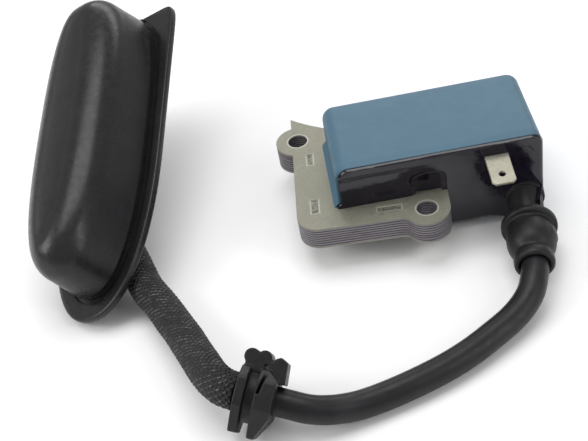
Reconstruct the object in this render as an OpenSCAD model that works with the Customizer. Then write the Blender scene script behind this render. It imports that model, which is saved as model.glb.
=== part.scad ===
// Ignition coil for a small engine: a laminated core with two mounting ears, a potted coil block,
// a kill tab, a moulded high-tension lead with its frame grommet and braided sleeve, and a long
// flanged plug cap. Millimetres. The origin is midway between the two mounting holes, on the top
// face of the core. +Z runs up along the mounting screws, +X along the core's yoke, and +Y from
// the yoke towards the flywheel.

/* [Core] */
// Thickness of one steel lamination
lam_t = 0.4; // [0.3:0.05:0.5]
// Number of laminations in the core
lam_count = 17; // [9:1:21]
// Distance between the mounting holes along the yoke
hole_dx = 32.5; // [30:0.5:36]
// Distance between the mounting holes across the yoke
hole_dy = 35.4; // [32:0.2:38]
// Diameter of the mounting holes
hole_d = 5.5; // [4.2:0.1:6.4]
// Radius of the ears around the mounting holes
ear_r = 6.2; // [5.2:0.1:7]
// Width of the outer leg
outer_leg_w = 10.9; // [9:0.1:12]
// Width of the leg inside the coil
coil_leg_w = 9; // [7:0.5:10]
// Width of the yoke
yoke_w = 8.6; // [7:0.2:9.6]
// Radius of the flywheel that the two pole faces curve around
flywheel_r = 46; // [44:0.5:50]

/* [Coil block] */
// Width of the moulded housing
housing_w = 56; // [52:1:64]
// Depth of the moulded housing, from its open front to its back
housing_d = 28.8; // [27:0.2:32]
// Height of the housing above the core's top face
housing_top = 12.6; // [10.5:0.2:16]
// Height of the housing below the core's top face
housing_bottom = 15; // [13.6:0.2:18]
// Wall of the housing
housing_wall = 1.6; // [1:0.1:2.4]
// Rounding of the housing's edges
housing_round = 2.8; // [2.2:0.1:5]
// How far the potting stands out of the housing's open front
potting_proud = 1; // [0.4:0.1:2]
// Thickness of the winding on the primary bobbin
primary_t = 2; // [1:0.1:2.2]
// Thickness of the winding on the secondary bobbin
secondary_t = 2.2; // [1:0.1:2.2]
// Length of the two bobbins along the leg
bobbin_len = 23; // [18:0.5:23]
// Number of sections in the secondary winding
secondary_sections = 4; // [2:1:6]

/* [Kill tab] */
// Width of the tab's blade
tab_w = 6.3; // [4.8:0.1:6.3]
// Thickness of the tab's blade
tab_t = 0.8; // [0.5:0.1:1]
// Length of the blade outside the potting
tab_len = 10; // [7:0.5:12]

/* [Lead] */
// Outer diameter of the high-tension lead
lead_d = 7; // [5:0.5:7]
// Outer diameter of the braided sleeve
sleeve_d = 9.5; // [8.5:0.5:10]
// Outer diameter of the lead boot's collar
collar_d = 14.6; // [13.4:0.2:15]
// Outer diameter of the grommet's thin flange
grommet_d = 18; // [15:0.5:19]
// Width of the grommet's groove, which takes the edge of the frame
groove_w = 2.4; // [1.6:0.2:3]
// How far the grommet slides along the lead
grommet_travel = 4; // [1:0.5:4]

/* [Plug cap] */
// Length of the cap's dome
dome_len = 92; // [86:1:96]
// Width of the cap's dome
dome_w = 29; // [27:0.5:31]
// Height of the dome above the flange's underside
dome_h = 22.7; // [22:0.1:27]
// Wall of the cap
cap_wall = 2; // [1.4:0.1:2.6]
// How far the flange stands out past the dome at the sides
flange_side = 5.1; // [3:0.1:7]
// Thickness of the flange
flange_t = 2; // [1.4:0.1:3]
// Outer diameter of the plug boot inside the cap
boot_d = 18; // [16:0.5:19]
// Bore of the plug boot, which grips the plug's insulator
boot_bore_d = 10.4; // [8.6:0.1:11]

/* [Hidden] */

$fn = 64;
gap = 0.05;             // clearance between pieces that are assembled and then potted
lam_gap = 0.02;         // air between one lamination and the next

// Core
stack_h = lam_t * lam_count;
hole_x = hole_dx / 2;
hole_y = hole_dy / 2;
outer_leg_x = -17.9;    // outer edge of the outer leg
yoke_front = -20.3;     // front edge of the yoke
yoke_corner_r = 6;      // rounding of the yoke's free corner
pole_tip_y = 30;        // blank length of the outer leg before the pole is cut to its arc
ear_fillet_r = 2;       // fillet between the yoke's front edge and its ear
arc_steps = 14;         // flats along each rounded stretch of the core's outline
ear_fillet_drop = hole_y + yoke_front - ear_fillet_r;
ear_fillet_at = [hole_x - sqrt(pow(ear_r + ear_fillet_r, 2) - pow(ear_fillet_drop, 2)),
    yoke_front - ear_fillet_r];
flywheel_at = [11.5, 17.5 + flywheel_r];
coil_leg_x = hole_x + ear_r - coil_leg_w - 1.4;
dimple_depth = 0.2;
dimples = [[-13.2, 8.7, 1.9, 4.8], [-12.9, -11.1, 2.3, 5.6], [6.6, -15.8, 6.6, 2]];

// Coil block, in the block's own frame, which is turned a little about the origin
block_turn = 3.7;
block_x0 = -8.5;
block_y0 = -12.2;
block_x1 = block_x0 + housing_w;
block_y1 = block_y0 + housing_d;
screw_clear_r = 6.8;    // hollow in the potting beside the right ear, for a screwdriver
screw_clear_h = 9;
front_bevel = 3;        // bevel under the block's front
front_bevel_stop = 13;  // where it stops, short of the block's right side

// Bobbins and windings, around the coil leg
bobbin_wall = 0.8;
bobbin_flange_t = 1;
coil_x = coil_leg_x + coil_leg_w / 2;
coil_y = 2;
coil_z = -stack_h / 2;
former_w = coil_leg_w + 2 * gap;
former_h = stack_h + 2 * gap;
primary_w = former_w + 2 * bobbin_wall;
primary_h = former_h + 2 * bobbin_wall;
secondary_w = primary_w + 2 * primary_t + 2 * gap;
secondary_h = primary_h + 2 * primary_t + 2 * gap;
outer_w = secondary_w + 2 * bobbin_wall + 2 * secondary_t;
outer_h = secondary_h + 2 * bobbin_wall + 2 * secondary_t;
bobbin_lip = 0.2;       // how far the flanges stand past the winding
// The housing reaches far enough down to clear the coil, however thick the core is
block_z0 = min(-housing_bottom, coil_z - outer_h / 2 - bobbin_lip - housing_wall - gap);

// Electronics, on the far side of the coil from the outer leg
board_x = coil_x + outer_w / 2 + bobbin_lip + 1.2;
board_t = 1.2;
board_y = [-10.1, 12];
board_z = [-11.5, 9.6];
board_face = board_x + board_t;
transistor_t = 4.4;
transistor_tab_t = 1.3;
transistor_tab_h = 3;   // how far the tab stands past the body
transistor_y = [-7, 3];
transistor_z = [-10.5, 1.5];
chip_t = 1.5;
chip_y = [5, 9];
chip_z = [-10, -5];
capacitor_t = 4.5;
capacitor_y = [4, 11];
capacitor_z = [-3.5, 5];
resistor_r = 0.9;
resistor_y = [-6, -1];
resistor_z = [3, 5.4];
diode_r = 1.2;
diode_y = [4.5, 9.5];
diode_z = [7.8];
strap_x = coil_leg_x + coil_leg_w;
strap_y = [-10.9, -10.1];
strap_z = [-4.6, -2.6];

// Kill tab, in the block's frame
tab_x = block_x1 - 12.5;
tab_z = 8.4;
tab_droop = 10;
tab_tail = 5;           // length of the tail inside the potting
tab_clip = 1;           // clipped corners at the free end
tab_hole_d = 1.8;
tab_hole_at = 0.68;     // place of the hole, as a share of the blade's length

// Lead tower on the block's front, where s is the distance along its axis from the block
tower_at = [block_x1 - 4.5, -9.3, -7.5];
tower_turn = -5;
socket_r = 4.6;
socket_len = 20;
lead_r = lead_d / 2;
lead_fit = 0.05;        // clearance between the lead and the bores that hold it
lead_start = 8;
boot_start = 12;        // where the lead boot's collar begins
boot_collar_t = 2.2;
boot_len = 15.5;
socket_root = 4;        // how far the socket and the pin reach back into the potting
socket_root_r = 5.3;
pin_r = 0.8;
pin_root = 7;
boot_body_r = 6.4;
boot_end_r = 5.2;

// Grommet: its axis follows the straight stretch of the lead. In its own frame +Z runs towards
// the block and +X towards the knob.
grommet_turn = 125;
grommet_clear = 0.1;    // air between the grommet's bore and the lead it slides on
grommet_flange_t = 2.2;
grommet_core_r = 6.6;
grommet_low = 9.2;      // reach of the flange on the side away from the knob
grommet_top = 6.4;      // reach of the flange on the knob's side
grommet_wedge_len = 4.4;
grommet_slit = 0.6;
sleeve_clear = 0.3;     // air between the sleeve's end and the grommet

// Plug cap, in its own frame: +Z out of the dome, +Y towards the square end of the flange
cap_at = [-68.8, 15.3, 2.8];
cap_yaw = -6.8;
cap_pitch = 17.2;
cap_roll = -28.7;
dome_at = [0.8, 2.7];
dome_edge_r = 9;        // rounding between the dome's sides and its top
dome_power = 2.95;      // how square the dome's outline is: 2 is an ellipse
dome_taper = 0.8;       // how far the sides lean in on the way up
dome_sides = 48;
dome_edge_steps = 6;
flange_len = dome_len + 6;
flange_w = dome_w + 2 * flange_side;
flange_power = 2.3;
flange_steps = 12;
boot_y = 16;
boot_mouth = -3;
boot_top = dome_h - cap_wall;
boot_grip = 12;         // length of the bore above its mouth
neck_d = 12;
neck_z = 13;
neck_end = -2;
chamber_r = 4.2;
chamber_top = 17.4;
rib_t = 2.4;
spring_wire_d = 1;
spring_r = 3.2;
spring_pitch = 1.5;
spring_turns = 3;

// Points of the lead's route. The first three lie on the tower's axis, the tied ones follow the
// tower sideways, the two straight_ points bound the stretch that carries the grommet, and the
// last ones are given in the cap's frame.
straight_far = [-35, -67.4, -4];
straight_near = [-19.5, -71.9, -7.9];
route = [
    tower_point(lead_start), tower_point(18), tower_point(27),
    tied([-3.4, -40.4, -7.9], 1), tied([-4.9, -44, -8.8], 1), tied([-7.4, -47.2, -9.8], 1),
    tied([-11, -50.5, -10.6], 1), tied([5.7, -54, -11.1], 0.5), [21.3, -58.1, -11.4],
    [14.5, -62, -11.5], [7, -65.4, -11.5],
    [-0.5, -68.2, -11.5], [-7, -70.3, -11.1], [-12, -71.5, -10.1], [-16, -72, -9],
    straight_near, straight_far,
    [-37.9, -65.9, -3.7], [-40.3, -63.3, -3.8], [-42.2, -59.9, -4.5], [-44, -55.8, -5.5],
    [-46.3, -50.6, -6.6], [-49, -44.5, -7.6], [-52.3, -38, -8.3], [-55.8, -31.2, -8.8],
    cap_point([12.2, -40.3, -6.2]), cap_point([9.2, -35, -5.4]),
    cap_point([6.6, -29.5, -4]), cap_point([4.4, -23.5, -0.6]), cap_point([2.6, -17.5, 4]),
    cap_point([1.2, -11.5, 8.6]), cap_point([0.3, -5.5, 12]), cap_point([0, 0.5, 13]),
    cap_point([0, 6.2, 13]), cap_point([0, boot_y - chamber_r, 13])
];
sleeve_first = 16;      // ring of the route where the braided sleeve starts, at the grommet
sleeve_last = 30;       // ring of the route where it ends, inside the cap
lead_sides = 10;

function tied(p, share) = p + [share * tower_at[0], 0, 0];
function tower_point(s) = tower_at + s * [sin(tower_turn), -cos(tower_turn), 0];
function turn_x(p, a) = [p[0], cos(a) * p[1] - sin(a) * p[2], sin(a) * p[1] + cos(a) * p[2]];
function turn_y(p, a) = [cos(a) * p[0] + sin(a) * p[2], p[1], cos(a) * p[2] - sin(a) * p[0]];
function turn_z(p, a) = [cos(a) * p[0] - sin(a) * p[1], sin(a) * p[0] + cos(a) * p[1], p[2]];
function cap_point(p) = cap_at + turn_z(turn_x(turn_y(p, cap_roll), cap_pitch), cap_yaw);
function unit(v) = v / norm(v);

// Sweeping a round section along a list of points
function tangent(path, i) = unit(path[min(i + 1, len(path) - 1)] - path[max(i - 1, 0)]);
function ring(path, i, r, sides) = let (t = tangent(path, i),
    side = unit(cross([0, 0, 1], t)), up = cross(t, side))
    [for (k = [0:sides - 1]) path[i] + r * (cos(360 * k / sides) * side
        + sin(360 * k / sides) * up)];
function skin(first, rings, sides, flip) = [for (i = [0:rings - 2], k = [0:sides - 1])
    let (a = first + i * sides + k, b = first + i * sides + (k + 1) % sides)
    flip ? [b, b + sides, a + sides, a] : [a, a + sides, b + sides, b]];
function annulus(outer, inner, sides, flip) = [for (k = [0:sides - 1])
    let (n = (k + 1) % sides)
    flip ? [outer + n, inner + n, inner + k, outer + k]
         : [outer + k, inner + k, inner + n, outer + n]];

module sweep_rod(path, r, sides) {
    rings = len(path);
    points = [for (i = [0:rings - 1]) each ring(path, i, r, sides)];
    start_cap = [for (k = [0:sides - 1]) k];
    end_cap = [for (k = [sides - 1:-1:0]) (rings - 1) * sides + k];
    polyhedron(points, concat(skin(0, rings, sides, false), [start_cap], [end_cap]));
}

module sweep_tube(path, first, last, outer_r, inner_r, sides) {
    rings = last - first + 1;
    inner = rings * sides;
    points = concat([for (i = [first:last]) each ring(path, i, outer_r, sides)],
        [for (i = [first:last]) each ring(path, i, inner_r, sides)]);
    polyhedron(points, concat(skin(0, rings, sides, false), skin(inner, rings, sides, true),
        annulus(0, inner, sides, true),
        annulus((rings - 1) * sides, inner + (rings - 1) * sides, sides, false)));
}

// Frames
module in_block() rotate([0, 0, block_turn]) children();
module on_tower(s) translate(tower_point(s)) rotate([0, 0, tower_turn]) rotate([90, 0, 0])
    children();
module in_cap() translate(cap_at) rotate([0, 0, cap_yaw]) rotate([cap_pitch, 0, 0])
    rotate([0, cap_roll, 0]) children();
module on_lead(u) {
    along = unit(straight_near - straight_far);
    translate(straight_far + u * along)
        rotate([0, 90 - asin(along[2]), atan2(along[1], along[0])]) children();
}

// Core
function arc(at, r, from, to) = [for (i = [0:arc_steps])
    let (a = from + (to - from) * i / arc_steps) at + r * [cos(a), sin(a)]];

module core_outline(grow = 0) {
    fillet_turn = atan2(-hole_y - ear_fillet_at[1], hole_x - ear_fillet_at[0]);
    ear_turn = acos((outer_leg_x - grow + hole_x) / (ear_r + grow));
    yoke_back = yoke_front + yoke_w + grow;
    difference() {
        polygon(concat(
            arc([outer_leg_x, yoke_front] + yoke_corner_r * [1, 1], yoke_corner_r + grow,
                180, 270),
            arc(ear_fillet_at, ear_fillet_r - grow, 90, fillet_turn),
            arc([hole_x, -hole_y], ear_r + grow, fillet_turn + 180, 360),
            [[hole_x + ear_r + grow, yoke_back],
                [coil_leg_x + coil_leg_w + grow, yoke_back],
                [coil_leg_x + coil_leg_w + grow, pole_tip_y],
                [coil_leg_x - grow, pole_tip_y],
                [coil_leg_x - grow, yoke_back],
                [outer_leg_x + outer_leg_w + grow, yoke_back],
                [outer_leg_x + outer_leg_w + grow, pole_tip_y],
                [outer_leg_x - grow, pole_tip_y]],
            arc([-hole_x, hole_y], ear_r + grow, ear_turn, 360 - ear_turn)));
        translate(flywheel_at) circle(r = flywheel_r, $fn = 180);
    }
}

module lamination_sheet(t) {
    linear_extrude(t) difference() {
        core_outline();
        for (s = [-1, 1])
            translate([s * hole_x, -s * hole_y]) circle(d = hole_d);
    }
}

module core_top_lamination() {
    color("#98967f") difference() {
        translate([0, 0, -lam_t]) lamination_sheet(lam_t);
        for (d = dimples)
            translate([d[0] - d[2] / 2, d[1] - d[3] / 2, -dimple_depth])
                cube([d[2], d[3], 1]);
    }
}

module core_laminations() {
    color("#57535f") for (i = [1:lam_count - 2])
        translate([0, 0, -(i + 1) * lam_t + lam_gap]) lamination_sheet(lam_t - lam_gap);
}

module core_bottom_lamination() {
    color("#98967f") translate([0, 0, -stack_h]) lamination_sheet(lam_t);
}

module core_envelope() {
    translate([0, 0, -stack_h - gap]) linear_extrude(stack_h + 2 * gap) core_outline(gap);
}

// Coil block
module rounded_plate(x, z, r, t) {
    rotate([90, 0, 0]) linear_extrude(t) polygon(concat(
        arc([x[0] + r, z[0] + r], r, 180, 270), arc([x[1] - r, z[0] + r], r, 270, 360),
        arc([x[1] - r, z[1] - r], r, 0, 90), arc([x[0] + r, z[1] - r], r, 90, 180)));
}

module block_form(inset, front) {
    translate([0, block_y1 - inset, 0]) rounded_plate([block_x0 + inset, block_x1 - inset],
        [block_z0 + inset, housing_top - inset], housing_round - inset,
        block_y1 - inset - front);
}

module housing_shell() {
    color("#5c8096") difference() {
        in_block() difference() {
            block_form(0, block_y0);
            block_form(housing_wall, block_y0 - 1);
            front_bevel_cut();
        }
        core_envelope();
        on_tower(-socket_root - gap) cylinder(r = socket_root_r + gap, h = socket_root + 2);
    }
}

// Bevel under the block's front, from its left side to short of the tower
module front_bevel_cut() {
    front = block_y0 - potting_proud;
    reach = front_bevel + 1;
    translate([block_x0 - 1, 0, 0]) rotate([90, 0, 90])
        linear_extrude(block_x1 - block_x0 - front_bevel_stop)
            polygon([[front - 1, block_z0 + reach], [front - 1, block_z0 - 1],
                [front + reach, block_z0 - 1]]);
}

module potting_front() {
    translate([0, block_y0, 0]) rounded_plate([block_x0 + housing_wall, block_x1],
        [block_z0, housing_top - housing_wall], housing_round - housing_wall, potting_proud);
}

function span(middle, half) = [middle - half, middle + half];

module part_space(x, y, z) {
    translate([x[0] - gap, y[0] - gap, z[0] - gap])
        cube([x[1] - x[0] + 2 * gap, y[1] - y[0] + 2 * gap, z[1] - z[0] + 2 * gap]);
}

module potting_fill() {
    color("#1b191f") difference() {
        in_block() union() {
            block_form(housing_wall, block_y0);
            potting_front();
        }
        in_block() front_bevel_cut();
        core_envelope();
        part_space(span(coil_x, outer_w / 2 + bobbin_lip), span(coil_y, bobbin_len / 2),
            span(coil_z, outer_h / 2 + bobbin_lip));
        part_space([board_x, board_face], board_y, board_z);
        part_space([board_face, board_face + transistor_t], transistor_y, transistor_z);
        part_space([board_face, board_face + chip_t], chip_y, chip_z);
        part_space([board_face, board_face + capacitor_t], capacitor_y, capacitor_z);
        for (z = resistor_z)
            part_space([board_face, board_face + 2 * resistor_r], resistor_y,
                span(z, resistor_r));
        for (z = diode_z)
            part_space([board_face, board_face + 2 * diode_r], diode_y,
                span(z, diode_r));
        part_space([strap_x, board_face], strap_y, strap_z);
        in_block() tab_blade(gap);
        on_tower(-socket_root) cylinder(r = socket_root_r + gap, h = socket_root + 2);
        on_tower(-pin_root) cylinder(r = pin_r + gap, h = pin_root);
        translate([hole_x, -hole_y, 0]) cylinder(r = screw_clear_r, h = screw_clear_h);
    }
}

// Bobbins and windings
module sleeve_box(w, h, len, t) {
    translate([coil_x, coil_y, coil_z]) difference() {
        cube([w + 2 * t, len, h + 2 * t], center = true);
        cube([w, len + 1, h], center = true);
    }
}

module bobbin_ends(w, h, reach, len, t) {
    for (s = [-1, 1])
        translate([coil_x, coil_y + s * (len - t) / 2, coil_z]) difference() {
            cube([w + 2 * reach, t, h + 2 * reach], center = true);
            cube([w, t + 1, h], center = true);
        }
}

module primary_bobbin() {
    color("#2b2f36") union() {
        sleeve_box(former_w, former_h, bobbin_len, bobbin_wall);
        bobbin_ends(former_w, former_h, bobbin_wall + primary_t, bobbin_len, bobbin_flange_t);
    }
}

module primary_winding() {
    color("#b5703a") sleeve_box(primary_w, primary_h,
        bobbin_len - 2 * bobbin_flange_t - 2 * gap, primary_t);
}

module secondary_bobbin() {
    color("#3a3f47") union() {
        sleeve_box(secondary_w, secondary_h, bobbin_len, bobbin_wall);
        bobbin_ends(secondary_w, secondary_h, bobbin_wall + secondary_t + bobbin_lip,
            bobbin_len, bobbin_flange_t);
        for (i = [1:secondary_sections - 1])
            translate([0, section_y(i) - coil_y, 0])
                sleeve_box(secondary_w, secondary_h, bobbin_flange_t,
                    bobbin_wall + secondary_t);
    }
}

// Middle of the wall between section i and the one before it
function section_y(i) = coil_y - bobbin_len / 2 + bobbin_flange_t / 2
    + i * (bobbin_len - bobbin_flange_t) / secondary_sections;

module secondary_winding() {
    section_len = (bobbin_len - bobbin_flange_t) / secondary_sections - bobbin_flange_t;
    color("#c27b42") for (i = [0:secondary_sections - 1])
        translate([0, section_y(i + 0.5) - coil_y, 0])
            sleeve_box(secondary_w + 2 * bobbin_wall, secondary_h + 2 * bobbin_wall,
                section_len - 2 * gap, secondary_t);
}

// Electronics
module box_between(x, y, z) {
    translate([x[0], y[0], z[0]]) cube([x[1] - x[0], y[1] - y[0], z[1] - z[0]]);
}

module circuit_board() {
    color("#2d6b45") box_between([board_x, board_face], board_y, board_z);
}

module power_transistor() {
    color("#26262a") union() {
        box_between([board_face, board_face + transistor_t], transistor_y,
            [transistor_z[0] + transistor_tab_h, transistor_z[1] - transistor_tab_h]);
        box_between([board_face, board_face + transistor_tab_t], transistor_y, transistor_z);
    }
}

module control_chip() {
    color("#202024") box_between([board_face, board_face + chip_t], chip_y, chip_z);
}

module storage_capacitor() {
    color("#7a1f1f") box_between([board_face, board_face + capacitor_t], capacitor_y,
        capacitor_z);
}

module lying_rod(y, z, r) {
    translate([board_face + r, y[0], z]) rotate([-90, 0, 0]) cylinder(r = r, h = y[1] - y[0]);
}

module resistors() {
    color("#c9b58a") for (z = resistor_z) lying_rod(resistor_y, z, resistor_r);
}

module diodes() {
    color("#33333a") for (z = diode_z) lying_rod(diode_y, z, diode_r);
}

module ground_strap() {
    color("#c8a24a") box_between([strap_x, board_face], strap_y, strap_z);
}

// Kill tab, in the block's frame: a blade that leaves the potting and droops a little
module tab_blade(grow) {
    root_y = block_y0 - potting_proud;
    translate([tab_x - tab_w / 2 - grow, root_y, tab_z - tab_t / 2 - grow])
        cube([tab_w + 2 * grow, tab_tail + grow, tab_t + 2 * grow]);
}

module kill_tab() {
    root_y = block_y0 - potting_proud;
    color("#beb9a5") in_block() union() {
        tab_blade(0);
        translate([tab_x, root_y + tab_t / 2, tab_z]) rotate([tab_droop, 0, 0])
            translate([0, 0, -tab_t / 2]) linear_extrude(tab_t) difference() {
                polygon([[-tab_w / 2, 0], [-tab_w / 2, tab_clip - tab_len],
                    [tab_clip - tab_w / 2, -tab_len], [tab_w / 2 - tab_clip, -tab_len],
                    [tab_w / 2, tab_clip - tab_len], [tab_w / 2, 0]]);
                translate([0, -tab_hole_at * tab_len]) circle(d = tab_hole_d);
            }
    }
}

// Lead tower and lead boot
module hv_terminal_pin() {
    color("#c8a24a") on_tower(-pin_root) cylinder(r = pin_r, h = pin_root + lead_start - gap);
}

module lead_socket() {
    color("#232128") difference() {
        union() {
            on_tower(-socket_root) cylinder(r = socket_root_r, h = socket_root + 2);
            on_tower(0) cylinder(r = socket_r, h = socket_len);
        }
        on_tower(lead_start - gap) cylinder(r = lead_r + lead_fit, h = socket_len);
        on_tower(-socket_root - 1) cylinder(r = pin_r + gap, h = socket_len);
    }
}

module lead_boot() {
    color("#232326") difference() {
        on_tower(boot_start) rotate_extrude() polygon([[0, 0], [collar_d / 2 - 0.4, 0],
            [collar_d / 2, 0.4], [collar_d / 2, boot_collar_t - 0.4],
            [collar_d / 2 - 0.4, boot_collar_t], [boot_body_r - 0.3, boot_collar_t],
            [boot_body_r, 6], [boot_body_r - 0.3, 9], [boot_end_r - 0.7, 11],
            [boot_end_r - 0.7, 12], [boot_end_r, 12.5], [boot_end_r, boot_len - 0.5],
            [boot_end_r - 0.5, boot_len], [0, boot_len]]);
        on_tower(boot_start - 1) cylinder(r = socket_r + lead_fit,
            h = socket_len - boot_start + 1 + gap);
        on_tower(boot_start) cylinder(r = lead_r + lead_fit, h = boot_len + 1);
    }
}

// Lead, grommet and sleeve
module ht_lead() {
    color("#2a2a2d") sweep_rod(route, lead_r, lead_sides);
}

module braided_sleeve() {
    color("#303032") sweep_tube(route, sleeve_first, sleeve_last, sleeve_d / 2,
        lead_r + 0.35, lead_sides);
}

// Outline of the grommet's plates across the lead, and its outline along the lead
module grommet_plate(reach, t) {
    half = grommet_d / 2;
    linear_extrude(t) offset(1) offset(-1) polygon([[-reach, -0.45 * half],
        [-0.3 * half, -half], [0.4 * half, -half], [grommet_top, -0.6 * half],
        [grommet_top, 0.6 * half], [0.4 * half, half], [-0.3 * half, half],
        [-reach, 0.45 * half]]);
}

module grommet_side(points, y0, y1) {
    translate([0, y1, 0]) rotate([90, 0, 0]) linear_extrude(y1 - y0) polygon(points);
}

module frame_grommet() {
    half = grommet_d / 2;
    groove_u = grommet_flange_t;
    wedge_u = groove_u + groove_w;
    end_u = wedge_u + grommet_wedge_len;
    nose = lead_r + 1;
    paddle_half = half / 2;
    color("#2d2d31") on_lead(sleeve_clear) rotate([0, 0, grommet_turn]) difference() {
        union() {
            grommet_plate(grommet_low, grommet_flange_t);
            translate([0, 0, 1]) cylinder(r = grommet_core_r, h = wedge_u);
            intersection() {
                translate([0, 0, wedge_u]) grommet_plate(grommet_low + 0.6,
                    grommet_wedge_len);
                grommet_side([[-grommet_low - 1, wedge_u], [-grommet_low - 1, wedge_u + 1.4],
                    [-nose, end_u], [nose, end_u], [grommet_top, wedge_u + 2],
                    [grommet_top, wedge_u]], -half - 1, half + 1);
            }
            grommet_side([[grommet_top - 2.5, wedge_u], [grommet_top - 2.5, end_u - 1.6],
                [nose - 0.5, end_u - 1.6], [nose - 0.5, end_u + 1.6],
                [grommet_top + 2.6, end_u + 1.2], [grommet_top + 3.6, end_u - 0.6],
                [grommet_top + 3, end_u - 1.8], [grommet_top + 0.8, wedge_u + 1]],
                -paddle_half, paddle_half);
            for (k = [[2.4, 0.6, 1.9], [2.7, 3.6, 1.7]])
                translate([grommet_top + k[0], paddle_half, k[1] + 1]) rotate([90, 0, 0])
                    cylinder(r = k[2], h = 2 * paddle_half);
            grommet_side([[grommet_top - 1, 0], [grommet_top + 2, 0.6],
                [grommet_top + 2, wedge_u], [grommet_top - 1, wedge_u + 0.6]],
                -paddle_half, paddle_half);
        }
        translate([0, 0, -1]) cylinder(r = lead_r + grommet_clear, h = 30);
        grommet_side([[0.5, wedge_u + 0.3], [grommet_top + 1, wedge_u + 1.6],
            [grommet_top + 1, wedge_u + 1.6 + grommet_slit], [0.5, wedge_u + 0.3
            + grommet_slit]], half - 2.4, half + 1);
    }
}

// Plug cap, boot and spring, in the cap's frame
function squircle(a, w, l, power) = [
    w / 2 * sign(cos(a)) * pow(abs(cos(a)), 2 / power),
    l / 2 * sign(sin(a)) * pow(abs(sin(a)), 2 / power)];
function dome_level(i, inset) = let (edge = dome_edge_r - inset,
    a = 90 * max(i - 1, 0) / dome_edge_steps)
    i == 0 ? [0, 0] : [dome_taper + edge * (1 - cos(a)), dome_h - inset - edge
        + edge * sin(a)];

module dome_form(inset, bottom) {
    levels = dome_edge_steps + 2;
    points = [for (i = [0:levels - 1], k = [0:dome_sides - 1])
        let (level = dome_level(i, inset), shrink = 2 * (inset + level[0]),
            flat = squircle(360 * k / dome_sides, dome_w - shrink, dome_len - shrink,
                dome_power))
        [dome_at[0] + flat[0], dome_at[1] + flat[1], i == 0 ? bottom : level[1]]];
    floor_face = [for (k = [0:dome_sides - 1]) k];
    roof_face = [for (k = [dome_sides - 1:-1:0]) (levels - 1) * dome_sides + k];
    polyhedron(points, concat(skin(0, levels, dome_sides, false), [floor_face],
        [roof_face]));
}

module cap_flange() {
    linear_extrude(flange_t) polygon(concat(
        [for (i = [0:2 * flange_steps]) squircle(180 + 90 * i / flange_steps,
            flange_w, flange_len, flange_power)],
        [[flange_w / 2, flange_len / 2], [-flange_w / 2, flange_len / 2]]));
}

module cap_ribs() {
    reach = dome_w / 2;
    for (s = [-1, 1])
        translate([dome_at[0] + (s - 1) / 2 * reach, boot_y - rib_t / 2, flange_t + 2])
            cube([reach - 1, rib_t, dome_h - dome_edge_r - flange_t - 2]);
}

module plug_cap() {
    color("#3c3c40") in_cap() difference() {
        union() {
            difference() {
                union() {
                    dome_form(0, 0);
                    cap_flange();
                }
                dome_form(cap_wall, -2);
            }
            cap_ribs();
        }
        translate([0, boot_y, -1]) cylinder(d = boot_d + 2 * gap, h = boot_top + 1);
    }
}

module plug_boot() {
    color("#202022") in_cap() difference() {
        union() {
            translate([0, boot_y, boot_mouth]) cylinder(d = boot_d, h = boot_top - boot_mouth);
            translate([0, neck_end, neck_z]) rotate([-90, 0, 0])
                cylinder(d = neck_d, h = boot_y - neck_end);
        }
        translate([0, boot_y, boot_mouth - 1]) cylinder(d = boot_bore_d, h = boot_grip + 1);
        translate([0, boot_y, boot_mouth]) cylinder(r = chamber_r,
            h = chamber_top - boot_mouth);
        translate([0, neck_end - 1, neck_z]) rotate([-90, 0, 0])
            cylinder(r = lead_r + lead_fit, h = boot_y - neck_end + 1);
    }
}

module terminal_spring() {
    steps = 14;
    coil_start = boot_mouth + boot_grip + 1;
    coil = [for (i = [0:steps * spring_turns]) let (a = 360 * i / steps)
        [spring_r * cos(a), boot_y + spring_r * sin(a), coil_start + spring_pitch * a / 360]];
    color("#a9a9ad") in_cap() sweep_rod(coil, spring_wire_d / 2, 8);
}

core_top_lamination();
core_laminations();
core_bottom_lamination();
housing_shell();
potting_fill();
primary_bobbin();
primary_winding();
secondary_bobbin();
secondary_winding();
circuit_board();
power_transistor();
control_chip();
storage_capacitor();
resistors();
diodes();
ground_strap();
kill_tab();
hv_terminal_pin();
lead_socket();
lead_boot();
ht_lead();
frame_grommet();
braided_sleeve();
plug_cap();
plug_boot();
terminal_spring();
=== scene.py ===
import math

import bmesh
import bpy
import numpy as np
from mathutils import Matrix, Vector


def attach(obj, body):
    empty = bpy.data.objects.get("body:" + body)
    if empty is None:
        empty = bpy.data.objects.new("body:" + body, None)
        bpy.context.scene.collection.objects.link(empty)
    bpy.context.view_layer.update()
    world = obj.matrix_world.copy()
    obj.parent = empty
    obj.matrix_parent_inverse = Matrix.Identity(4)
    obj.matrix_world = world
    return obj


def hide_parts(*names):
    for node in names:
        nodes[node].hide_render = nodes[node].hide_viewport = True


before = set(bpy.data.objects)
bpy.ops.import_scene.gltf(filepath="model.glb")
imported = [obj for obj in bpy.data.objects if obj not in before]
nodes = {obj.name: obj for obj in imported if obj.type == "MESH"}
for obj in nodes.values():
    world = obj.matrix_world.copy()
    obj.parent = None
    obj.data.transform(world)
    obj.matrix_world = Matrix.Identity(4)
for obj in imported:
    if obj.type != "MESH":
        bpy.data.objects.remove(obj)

MM = 0.001
# The camera's turn about X, Y and Z, in degrees
CAMERA_TURN = (47.398, 8.689, -2.442)
# Places on the core's top face, in millimetres: the holes' centres, and each dimple's centre
# with its width and height
HOLES = ((-16.25, 17.7), (16.25, -17.7))
DIMPLES = ((-13.2, 8.7, 1.9, 4.8), (-12.9, -11.1, 2.3, 5.6), (6.6, -15.8, 6.6, 2))
# Radii in millimetres over which the painted highlight round each hole runs from full to nothing
RIM_HIGHLIGHT_FULL, RIM_HIGHLIGHT_END = 3.0, 3.25
PLATES_PER_MM = 2.5
WIRES_PER_MM = 4.0
BRAID_STRANDS = 16
BRAID_PITCH = 11.0


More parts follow.
